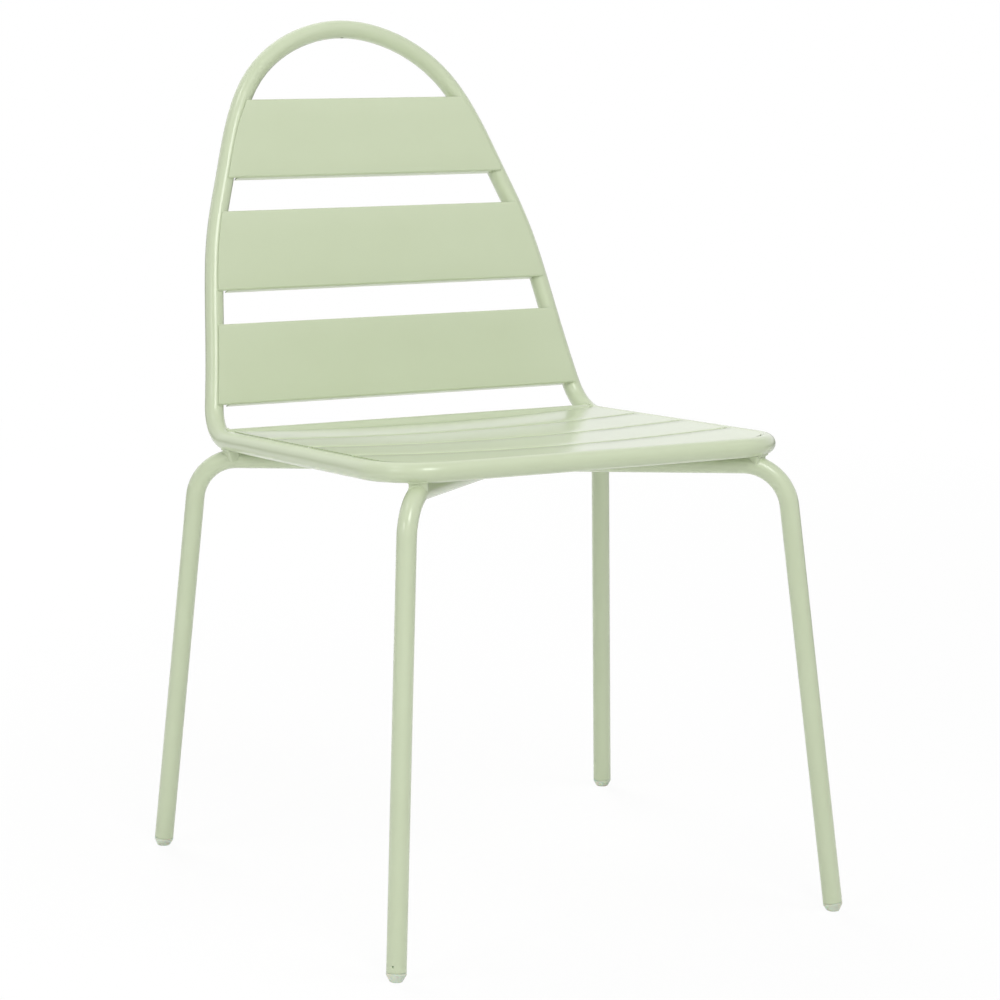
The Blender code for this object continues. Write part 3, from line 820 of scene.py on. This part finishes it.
# each lamp: its place, diameter, power and whether the coat mirrors it
lamps = {"key": ((-0.49, -2.31, 2.87), 1.5, 35.0, True), "strip": ((-2.49, -0.91, 1.83), 0.6, 6.5, True),
         "stripTop": ((-1.55, 0.25, 3.17), 0.6, 5.0, True),
         "front": ((-1.47, -3.15, 1.35), 2.0, 23.0, False), "frontRight": ((2.11, -2.52, 1.30), 2.0, 9.5, False),
         "overRight": ((1.30, -1.30, 3.04), 1.8, 27.0, False), "left": ((-2.89, -0.25, 1.20), 2.0, 15.0, False),
         "overLeft": ((-1.72, 0.0, 2.88), 1.8, 6.0, False), "rear": ((0.0, 2.72, 1.69), 2.0, 41.0, False),
         "overRear": ((0.0, 1.50, 3.02), 1.8, 25.0, False)}
studio = {"lampAim": (0, 0, 0.42), "skyStrength": 0.03, "floorSize": 120, "floorColour": (0.95, 0.95, 0.95, 1),
          "floorGlow": 0.92, "fadeFrom": 0.6, "fadeRate": 0.5}
white = (1, 1, 1, 1)


def setLights():
    for name, (place, size, power, mirrored) in lamps.items():
        aim = (Vector(studio["lampAim"]) - Vector(place)).to_track_quat("-Z", "Y").to_euler()
        bpy.ops.object.light_add(type="AREA", location=place, rotation=aim)
        lamp = bpy.context.object
        lamp.name = name + "Lamp"
        lamp.data.shape = "DISK"
        lamp.data.size = size
        lamp.data.energy = power
        lamp.visible_glossy = mirrored


def setWorld():
    # white where the camera, a mirror or glass sees it, and a faint glow for everything else
    world = bpy.data.worlds.new("studio")
    bpy.context.scene.world = world
    world.use_nodes = True
    tree = world.node_tree
    sky = tree.nodes["Background"]
    seen = tree.nodes.new("ShaderNodeBackground")
    sky.inputs["Color"].default_value = white
    seen.inputs["Color"].default_value = white
    sky.inputs["Strength"].default_value = studio["skyStrength"]
    path = tree.nodes.new("ShaderNodeLightPath")
    shown = path.outputs["Is Camera Ray"]
    for ray in ("Is Glossy Ray", "Is Transmission Ray"):
        either = tree.nodes.new("ShaderNodeMath")
        either.operation = "MAXIMUM"
        tree.links.new(shown, either.inputs[0])
        tree.links.new(path.outputs[ray], either.inputs[1])
        shown = either.outputs[0]
    mix = tree.nodes.new("ShaderNodeMixShader")
    tree.links.new(shown, mix.inputs[0])
    tree.links.new(sky.outputs[0], mix.inputs[1])
    tree.links.new(seen.outputs[0], mix.inputs[2])
    tree.links.new(mix.outputs[0], tree.nodes["World Output"].inputs["Surface"])


def setFloor():
    # a plain floor that the camera sees almost white, and wholly white away from the chair
    startFresh()
    bpy.ops.mesh.primitive_plane_add(size=studio["floorSize"])
    floor = bpy.context.object
    floor.name = "studioFloor"
    shader = Shader("studioFloor", Roughness=0.9, Base_Color=studio["floorColour"])
    seen = shader.node("LightPath")
    place = shader.node("TexCoord", output=3)
    away = shader.node("VectorMath", {"operation": "LENGTH"}, output=1, Vector=place)
    spread = ((away - studio["fadeFrom"]) * studio["fadeRate"]).maths("MINIMUM", 1.0).maths("MAXIMUM", 0.0)
    glow = shader.node("Emission", Color=white, Strength=1.0)
    mix = shader.tree.nodes.new("ShaderNodeMixShader")
    shader.feed(mix.inputs[0], seen * (studio["floorGlow"] + spread * (1 - studio["floorGlow"])))
    shader.tree.links.new(shader.surface.outputs[0], mix.inputs[1])
    shader.tree.links.new(glow.link, mix.inputs[2])
    shader.tree.links.new(mix.outputs[0], shader.tree.nodes["Material Output"].inputs["Surface"])
    floor.data.materials.append(shader.material)


setCamera()
setLights()
setWorld()
setFloor()
bpy.context.scene.view_settings.view_transform = "Standard"
print("studio is set")
